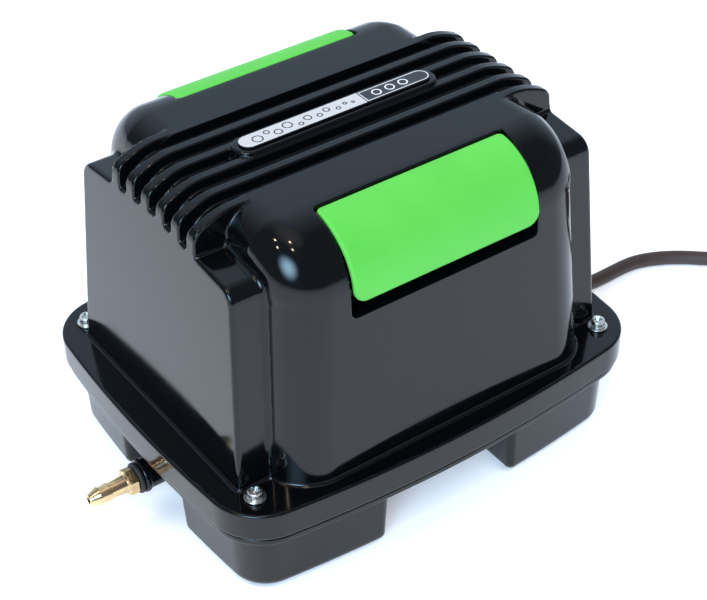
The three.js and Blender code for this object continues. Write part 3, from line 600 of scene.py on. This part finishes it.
def make_materials():
    return {
        "black_housing": gloss_black("black_housing", (0.0016, 0.0017, 0.0023), 0.09, 30.0),
        "black_base": gloss_black("black_base", (0.0026, 0.0028, 0.0036), 0.13, 60.0),
        "green_grip": soft_rubber("green_grip", (0.100, 0.50, 0.062), 0.5, 0.04, 0.34),
        "silver_label": printed_label("silver_label"),
        "stainless": worked_metal("stainless", (0.84, 0.83, 0.80), 0.25, (1, 1, 1), 600.0),
        "brass": worked_metal("brass", (0.92, 0.67, 0.37), 0.18, (20, 1, 1), 300.0, 0.3),
        "black_rubber": soft_rubber("black_rubber", (0.014, 0.014, 0.015), 0.6),
        "alloy": worked_metal("alloy", (0.5, 0.51, 0.52), 0.5, (1, 1, 1), 700.0),
        "lamination": worked_metal("lamination", (0.22, 0.22, 0.23), 0.45, (1, 1, 60), 30.0),
        "copper_winding": worked_metal("copper_winding", (0.55, 0.2, 0.08), 0.35, (1, 60, 1), 30.0),
        "ferrite": soft_rubber("ferrite", (0.05, 0.05, 0.053), 0.5, 0.3),
        "natural_nylon": soft_rubber("natural_nylon", (0.62, 0.60, 0.53), 0.5, 0.06),
        "grey_felt": soft_rubber("grey_felt", (0.15, 0.17, 0.19), 0.95, 0.4),
        "cord_skin": soft_rubber("cord_skin", (0.045, 0.028, 0.024), 0.5, 0.12),
    }


def finish_piece(piece, slot, body, *nodes):
    """Paint a piece, make it ride its body and hide the CAD nodes it stands for."""
    piece.data.materials.clear()
    piece.data.materials.append(MATERIALS[slot])
    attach(piece, body)
    if nodes:
        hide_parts(*nodes)


def node_slots():
    return {entry["node"]: entry["material_slot"] for entry in frame["record"]["subparts"]}


def paint_cad_nodes():
    slots = node_slots()
    for name, node in frame["nodes"].items():
        for slot in node.material_slots:
            slot.material = MATERIALS[slots[name]]


# ---- housing, base and grips ---------------------------------------------

def make_housing():
    xs = mirrored(0, 3.0, 45, 2.0, 84, 0.9, 98, 1.1, 133)
    ys = mirrored(0, 0.8, 36, 1.8, 64, 0.9, 78, 1.1, 108)
    zs = steps(42.5, 0.6, 46.1, 2.2, 57, 0.7, 63.3, 3.0, 142, 1.4, 160, 1.0, 197)
    return surface_mesh("housing_shell", housing_field, xs, ys, zs)


def make_base():
    xs = mirrored(0, 3.0, 30, 1.6, 52, 3.0, 66, 1.6, 108, 1.1, 130)
    ys = mirrored(0, 2.5, 20, 1.6, 38, 2.5, 54, 1.6, 84, 1.1, 107)
    zs = steps(-1, 1.2, 9, 3.0, 32, 1.2, 37.4, 0.6, 43.4)
    return surface_mesh("base_shell", base_field, xs, ys, zs)


def make_grip(name, sign):
    ys = steps(56.5, 1.0, 93)
    xs = mirrored(0, 3.0, 45, 1.0, 56)
    zs = steps(153, 1.0, 193)
    if sign < 0:
        ys = -ys[::-1]
    return surface_mesh(name, grip_field, xs, ys, zs)


# ---- small parts ---------------------------------------------------------

def label_field(x, y, z):
    edge = np.hypot(np.maximum(np.abs(x) - LABEL_HALF + LABEL_R, 0), y) - LABEL_R
    return cut_round(edge, np.abs(z - LABEL_LOW - 0.45) - 0.45, 0.25)


def make_label():
    xs = mirrored(0, 2.5, 49, 0.5, 56.6)
    ys = mirrored(0, 1.2, 3.6, 0.4, 6.4)
    zs = steps(193.5, 0.2, 195.2)
    return surface_mesh("label_face", label_field, xs, ys, zs)


def screw_field(x, y, z):
    """Pan-head cross-recess screw over a split spring ring and a flat washer; z from the seat up."""
    out = np.hypot(x, y)
    head = cut_round(out - 3.85 + 0.08 * (z - 2), np.abs(z - 3.5) - 1.55, 1.0)
    head = np.maximum(head, np.hypot(out, z + 9.5) - 14.6)
    deep = np.minimum(5.1 - z, 2.6)
    arm = np.minimum(np.abs(x), np.abs(y)) - (0.84 - 0.12 * deep)
    reach = np.maximum(np.abs(x), np.abs(y)) - (2.65 - 0.7 * deep)
    heart = out - (1.65 - 0.45 * deep)
    recess = np.maximum(np.minimum(np.maximum(arm, reach), heart), 2.7 - z)
    head = np.maximum(head, -recess)
    turn = np.arctan2(y, x) / math.tau
    spring = cut_round(np.abs(out - 3.2) - 1.0, np.abs(z - 1.38 - 0.2 * turn) - 0.42, 0.2)
    spring = np.maximum(spring, 0.45 - np.abs(y) + np.where(x < 0, 0, 9))
    washer = cut_round(np.abs(out - 3.75) - 1.6, np.abs(z - 0.5) - 0.45, 0.2)
    shank = np.maximum(out - 2.0, np.maximum(z - 2.4, -22 - z))
    thread = out - (2.0 - 0.28 * np.abs(((z + turn * 0.7) / 0.7) % 1.0 * 2 - 1))
    shank = np.maximum(shank, np.where(z < -4, thread, -9))
    return np.minimum(np.minimum(head, spring), np.minimum(washer, shank))


def at_corners(first, stem):
    """The first piece and three copies of it, each with its number and its corner's signs."""
    for number, signs in enumerate(CORNERS, 1):
        piece = first
        if number > 1:
            piece = bpy.data.objects.new(f"{stem}_{number}", first.data.copy())
            bpy.context.collection.objects.link(piece)
        yield number, piece, signs


def make_screws():
    side = mirrored(0, 0.24, 5.6)
    first = surface_mesh("screw_1", screw_field, side, side, steps(-22.6, 0.22, 5.6), NO_SHIFT)
    for number, piece, (sx, sy) in at_corners(first, "screw"):
        spot = Vector((sx * SCREW[0], sy * SCREW[1], FLANGE_TOP + 0.25)) * MM + SHIFT
        turn = 0.5 + 1.9 * (number - 1)
        piece.matrix_world = Matrix.Translation(spot) @ Matrix.Rotation(turn, 4, "Z")
        finish_piece(piece, "stainless", "cover", f"housing_screw_{number}")


def barb_field(x, y, z):
    """Brass hose barb: hexagon, barrel with two ridges and a blunt tip, bored through."""
    h = z - OUTLET_Z
    out = np.hypot(y, h)
    sides = np.maximum(np.abs(y), np.maximum(np.abs(y / 2 + h * 0.866), np.abs(y / 2 - h * 0.866)))
    from_middle = np.abs(x - (HEX_BACK + HEX_FRONT) / 2)
    hexagon = cut_round(sides - 6.5, from_middle - 2.5, 0.25)
    hexagon = np.maximum(hexagon, (out + 0.55 * from_middle - 8.45) * 0.87)
    stem = np.maximum(out - 4.55, np.abs(x + 125.0) - 8.5)
    barrel = cut_round(out - (4.3 + 0.05 * (x - RIDGE_BACK)), RIDGE_BACK - x, 0.2)
    barrel = np.maximum(barrel, x + 134)
    neck = (out - (5.0 + 0.12 * (x - RIDGE_BACK))) * 0.99
    neck = cut_round(neck, np.abs(x + 149.2) - 3.7, 0.2)
    tip = cut_round((out - (5.05 + 0.42 * (x - RIDGE_FRONT))) * 0.92, BARB_TIP - x, 0.5)
    tip = np.maximum(tip, x + 151.2)
    body = join_round(np.minimum(hexagon, stem), barrel, 0.6)
    body = np.minimum(np.minimum(body, neck), tip)
    return np.maximum(body, 1.9 - out)


def make_barb():
    xs = steps(-158, 0.28, -130, 0.9, -115.5)
    across = mirrored(0, 0.34, 8.6)
    return surface_mesh("barb", barb_field, xs, across, across + OUTLET_Z)


def seal_field(x, y, z):
    out = np.hypot(y, z - OUTLET_Z)
    return np.hypot(out - 7.0, x - (PORT_END - 1.65)) - 1.4


def make_seal():
    across = mirrored(0, 0.35, 9.1)
    return surface_mesh("seal_ring", seal_field, steps(-131.2, 0.3, -127.1), across, across + OUTLET_Z)


def port_field(x, y, z):
    """Black elbow: down from the tray, then out to the barb, with a round rim at its mouth."""
    h = z - OUTLET_Z
    out = np.hypot(y, h)
    pipe = np.maximum(out - (8.1 - 0.006 * (x + 124)), np.abs(x + 88.7) - 38.7)
    rim = cut_round(out - 9.0, np.abs(x + 126.1) - 1.4, 0.8)
    down = np.maximum(np.hypot(x - OUTLET_DOWN_X, y) - 9.0, np.abs(z - 33.0) - 12.0)
    ball = np.sqrt((x - OUTLET_DOWN_X) ** 2 + y ** 2 + h ** 2) - 9.4
    web = np.maximum(np.abs(y) - 1.2, np.maximum(np.abs(x + 62) - 12, np.abs(z - 33) - 5.3))
    body = join_round(np.minimum(join_round(pipe, rim, 0.8), ball), down, 3.0)
    body = join_round(body, web, 0.8)
    return np.maximum(body, np.minimum(5.2 - out, -100 - x))


def make_port():
    xs = steps(-129, 0.4, -121, 1.6, -62, 0.9, -36)
    return surface_mesh("port", port_field, xs, mirrored(0, 0.6, 12), steps(9.6, 0.7, 46.6))


def pad_field(x, y, z):
    """Rubber foot: shallow disc with two rings moulded in its underside."""
    out = np.hypot(x, y)
    disc = cut_round(out - 9.0, np.abs(z - 0.85) - 0.85, 0.35)
    rings = np.maximum(np.abs(np.abs(out - 5.0) - 1.9) - 0.5, z - 0.5)
    return np.maximum(disc, -rings)


def make_pads():
    side = mirrored(0, 0.4, 10)
    first = surface_mesh("pad_1", pad_field, side, side, steps(-0.5, 0.24, 2.3), NO_SHIFT)
    for number, piece, (sx, sy) in at_corners(first, "pad"):
        piece.location = Vector((sx * PAD_PLACE[0], sy * PAD_PLACE[1], 0)) * MM + SHIFT
        finish_piece(piece, "black_rubber", "base", f"foot_pad_{number}")


def soft_edged(node_name, width):
    """A CAD solid again with its edges rounded, for the parts inside the housing."""
    source = frame["nodes"][node_name]
    piece = bpy.data.objects.new(f"{node_name}_soft", source.data.copy())
    bpy.context.collection.objects.link(piece)
    piece.matrix_world = source.matrix_world
    work = bmesh.new()
    work.from_mesh(piece.data)
    bmesh.ops.remove_doubles(work, verts=work.verts, dist=1e-6)
    bmesh.ops.dissolve_limit(work, angle_limit=math.radians(1), verts=work.verts, edges=work.edges)
    sharp = [e for e in work.edges if e.is_manifold and e.calc_face_angle() > math.radians(42)]
    bmesh.ops.bevel(work, geom=sharp, offset=width, offset_type="OFFSET", segments=2, profile=0.5,
                    affect="EDGES", clamp_overlap=True)
    bmesh.ops.triangulate(work, faces=[f for f in work.faces if len(f.verts) > 4])
    work.to_mesh(piece.data)
    work.free()
    piece.data.polygons.foreach_set("use_smooth", np.ones(len(piece.data.polygons), dtype=bool))
    piece.data.set_sharp_from_angle(angle=math.radians(32))
    return piece


def make_inside():
    """Every CAD solid that nothing above replaces, with soft edges."""
    bodies = frame["record"]["behaviour"]["bodies"]
    slots = node_slots()
    for node_name in frame["nodes"]:
        if node_name in DETAILED:
            continue
        body = next(name for name, nodes in bodies.items() if node_name in nodes)
        small = any(word in node_name for word in ("valve", "nut", "disc"))
        piece = soft_edged(node_name, (0.35 if small else 0.7) * MM)
        finish_piece(piece, slots[node_name], body, node_name)


# ---- cord ----------------------------------------------------------------

def ease(value):
    """From 0 to 1 with a level start and end."""
    value = min(1.0, max(0.0, value))
    return value * value * (3 - 2 * value)


def coil_point(turn):
    """Point of the coil after so many turns: inwards in the lower layer, outwards in the upper."""
    if turn < 0.35:
        radius = 67.9 - 9.5 * ease(turn / 0.35)
    elif turn < 2.35:
        radius = 58.4 - 10.4 * (turn - 0.35)
    elif turn < 2.6:
        radius = 37.6
    else:
        radius = 37.6 + 8.73 * (turn - 2.6)
    height = CORD_R + 1.35 * ease(turn / 0.3) + 8.7 * ease((turn - 2.35) / 0.5)
    angle = math.radians(COIL_START + 360 * turn)
    return (COIL[0] + radius * math.cos(angle), COIL[1] + radius * math.sin(angle), height)


def cord_points():
    """Line of the whole cord in metres: its route, the coil, then up to the plug and into it."""
    count = round(COIL_TURNS * COIL_STEPS)
    wound = [coil_point(COIL_TURNS * i / count) for i in range(1, count + 1)]
    end = wound[-1]
    wound += [tuple(a + (b - a) * part for a, b in zip(end[:2], PLUG[:2])) + (height,)
              for part, height in ((0.34, 15.2), (0.67, 17.6))]
    forward = Vector((math.cos(PLUG_TURN), math.sin(PLUG_TURN), 0))
    wound += [PLUG, tuple(Vector(PLUG) + 6 * forward)]
    return [Vector(p) + SHIFT for p in ROUTE] + [Vector(p) * MM + SHIFT for p in wound]


def make_cord():
    points = cord_points()
    curve = bpy.data.curves.new("cord", "CURVE")
    curve.dimensions = "3D"
    curve.bevel_depth = CORD_R * MM
    curve.bevel_resolution = 5
    curve.resolution_u = 6
    curve.use_fill_caps = True
    line = curve.splines.new("BEZIER")
    line.bezier_points.add(len(points) - 1)
    for spot, point in zip(line.bezier_points, points):
        spot.co = point
        spot.handle_left_type = spot.handle_right_type = "AUTO"
    cord = bpy.data.objects.new("cord", curve)
    bpy.context.collection.objects.link(cord)
    length = sum((b - a).length for a, b in zip(points, points[1:]))
    return cord, round(length, 3)


def relief_field(x, y, z):
    """Ribbed sleeve on the cord: collar, then rings that get smaller, joined by ribs."""
    h = z - CORD_Z
    out = np.hypot(y, h)
    along = x - ENTRY_END - 0.3
    collar = cut_round(out - 7.6, np.abs(along - 1.6) - 1.6, 0.6)
    core = np.maximum(out - (5.5 - 0.012 * along), np.abs(along - 16) - 16)
    ring_at = (along - 6.0) / 3.6
    ring = np.abs(ring_at - np.round(ring_at)) * 3.6 - 1.0
    rings = cut_round(out - (6.9 - 0.045 * along), ring, 0.4)
    rings = np.maximum(rings, np.abs(along - 16.2) - 15.8)
    ribs = np.maximum(np.minimum(np.abs(y), np.abs(h)) - 1.2, out - (6.7 - 0.045 * along))
    ribs = np.maximum(ribs, np.abs(along - 16.2) - 15.8)
    body = np.minimum(np.minimum(join_round(core, collar, 0.8), rings), ribs)
    return np.maximum(body, CORD_R + 0.05 - out)


def make_relief():
    across = mirrored(0, 0.4, 8.4)
    return surface_mesh("relief", relief_field, steps(97.6, 0.4, 131), across, across + CORD_Z)


def tie_field(x, y, z):
    """Flat strap round the coil's cross-section with its end stuck down on top."""
    ax, h = np.abs(x - TIE_X), z - 9.95
    corner = np.hypot(np.maximum(ax - 10.3, 0), np.maximum(np.abs(h) - 2.95, 0)) - 7.0
    loop = np.abs(corner + 0.65) - 0.6
    strap = cut_round(loop, np.abs(y - COIL[1]) - 4.4, 0.35)
    end = cut_round(np.abs(corner - 0.35) - 0.5, np.abs(y - COIL[1]) - 4.2, 0.3)
    end = np.maximum(end, np.maximum(-h, np.abs(x - TIE_X + 3) - 10))
    return np.minimum(strap, end)


def make_tie():
    xs = steps(TIE_X - 18.6, 0.45, TIE_X + 18.6)
    ys = steps(COIL[1] - 5.4, 0.5, COIL[1] + 5.4)
    return surface_mesh("strap", tie_field, xs, ys, steps(-0.8, 0.4, 21.6))


def plug_field(x, y, z):
    """Round earthed plug; x along the pins, its back at 0."""
    out = np.hypot(y, z)
    neck = cut_round(out - (5.6 + 0.13 * x), np.abs(x - 9) - 9, 0.8)
    rings = cut_round(out - (6.6 + 0.13 * x), np.abs((x - 3) % 3.4 - 1.7) - 1.0, 0.4)
    rings = np.maximum(rings, np.abs(x - 8) - 6.5)
    flare = (out - 18.4 + 0.022 * np.maximum(31 - x, 0) ** 2) * 0.8
    cap = cut_round(flare, x - 41.3, 1.6)
    cap = np.maximum(cap, 12.5 - x)
    body = join_round(np.minimum(neck, rings), cap, 3.0)
    hold = np.maximum(10.8 - np.abs(z), np.maximum(np.abs(x - 24) - 8.5, np.abs(y) - 11))
    body = cut_round(body, -hold, 1.2)
    guide = np.maximum(np.abs(z) - 2.6, np.maximum(15.6 - np.abs(y), 27 - x))
    clip = np.maximum(np.abs(y) - 2.2, np.maximum(16.6 - np.abs(z), 30 - x))
    body = cut_round(body, -guide, 0.5)
    return cut_round(body, -clip, 0.4)


def pins_field(x, y, z):
    """Two round pins with domed ends."""
    out = np.hypot(np.abs(y) - 9.5, z)
    return cut_round(out - 2.4, np.abs(x - 50) - 11.5, 1.6)


def turn_to_plug(piece):
    place = Matrix.Translation(Vector(PLUG) * MM + SHIFT)
    piece.matrix_world = place @ Matrix.Rotation(PLUG_TURN, 4, "Z")


def make_plug():
    across = mirrored(0, 0.6, 19.6)
    body = surface_mesh("plug_body", plug_field, steps(-1.2, 0.55, 42.6), across, across, NO_SHIFT)
    pin_rows = mirrored(5, 0.4, 13)
    pins = surface_mesh("plug_pins", pins_field, steps(37.5, 0.5, 62.6), pin_rows,
                        mirrored(0, 0.4, 3.6), NO_SHIFT)
    turn_to_plug(body)
    turn_to_plug(pins)
    return body, pins


def make_cord_set():
    cord, length = make_cord()
    body, pins = make_plug()
    relief = make_relief()
    tie = make_tie()
    finish_piece(relief, "black_rubber", "base", "strain_relief")
    finish_piece(cord, "cord_skin", "base", "power_cord", "cord_coil")
    finish_piece(tie, "black_rubber", "base", "cord_tie")
    finish_piece(body, "cord_skin", "base", "plug")
    finish_piece(pins, "stainless", "base")


# ---- stage ---------------------------------------------------------------

def toward(tree, around, way):
    """Cosine of the angle between each direction around the scene and the given one."""
    node = tree.nodes.new("ShaderNodeVectorMath")
    node.operation = "DOT_PRODUCT"
    node.inputs[1].default_value = way
    tree.links.new(around, node.inputs[0])
    return node.outputs["Value"]


def make_floor():
    bpy.ops.mesh.primitive_plane_add(size=30)
    floor = bpy.context.object
    floor.name = "floor"
    material, tree, shader = new_material("floor", FLOOR_COLOUR, 0.9)
    shader.inputs["Emission Color"].default_value = (*FLOOR_GLOW, 1)
    shader.inputs["Emission Strength"].default_value = 0.34
    floor.data.materials.append(material)


def make_room():
    """Dim room with a bright wall beyond, a pale ceiling and a hazy window in front at the left."""
    world = bpy.data.worlds.new("studio")
    bpy.context.scene.world = world
    world.use_nodes = True
    tree = world.node_tree
    around = tree.nodes.new("ShaderNodeTexCoord").outputs["Generated"]
    wall = spread(tree, toward(tree, around, WALL_WAY), 0.42, 0.84, 0.0, 1.0)
    colour = mix_colour(tree, wall, DIM_ROOM, BRIGHT_WALL)
    ceiling = spread(tree, toward(tree, around, (0, 0, 1)), 0.90, 0.99, 0.0, 1.0)
    colour = cover_with(tree, ceiling, colour, PALE_CEILING)
    window = spread(tree, toward(tree, around, WINDOW_WAY), 0.925, 1.0, 0.0, 1.0)
    colour = cover_with(tree, calculate(tree, "POWER", window, 2.0), colour, WINDOW_GLOW)
    tree.links.new(colour, tree.nodes["Background"].inputs["Color"])
    tree.nodes["Background"].inputs["Strength"].default_value = 1.0


def add_light(name, place, size, power, colour, mirrored_in_gloss=True):
    """Round area light that points at the pump."""
    data = bpy.data.lights.new(name, "AREA")
    data.shape = "ELLIPSE"
    data.size, data.size_y = size, size
    data.energy = power
    data.color = colour
    lamp = bpy.data.objects.new(name, data)
    bpy.context.collection.objects.link(lamp)
    lamp.location = place
    lamp.rotation_euler = (PUMP_MIDDLE - Vector(place)).to_track_quat("-Z", "Y").to_euler()
    lamp.visible_glossy = mirrored_in_gloss


def make_lights():
    """Two soft key lights and four ceiling lamps."""
    add_light("rear_key", (-1.3, 1.2, 1.9), 1.5, 30, KEY_COLOUR, mirrored_in_gloss=False)
    add_light("front_key", (0.2, -1.4, 2.3), 1.5, 34, KEY_COLOUR, mirrored_in_gloss=False)
    for number, way in enumerate(LAMP_WAYS, 1):
        add_light(f"lamp_{number}", Vector(way) * LAMP_REACH, 0.085, 2.4, LAMP_COLOUR)


make_camera()
MATERIALS = make_materials()
paint_cad_nodes()
make_cord_set()
finish_piece(make_housing(), "black_housing", "cover", "upper_housing")
finish_piece(make_base(), "black_base", "base", "base_tray")
finish_piece(make_grip("front_grip_skin", -1), "green_grip", "cover", "front_grip")
finish_piece(make_grip("rear_grip_skin", 1), "green_grip", "cover", "rear_grip")
finish_piece(make_label(), "silver_label", "cover", "label_plate")
finish_piece(make_barb(), "brass", "base", "hose_barb")
finish_piece(make_seal(), "black_rubber", "base", "outlet_seal")
finish_piece(make_port(), "black_base", "base", "outlet_port")
make_screws()
make_pads()
make_inside()
make_floor()
make_room()
make_lights()
bpy.context.scene.view_settings.view_transform = "Standard"
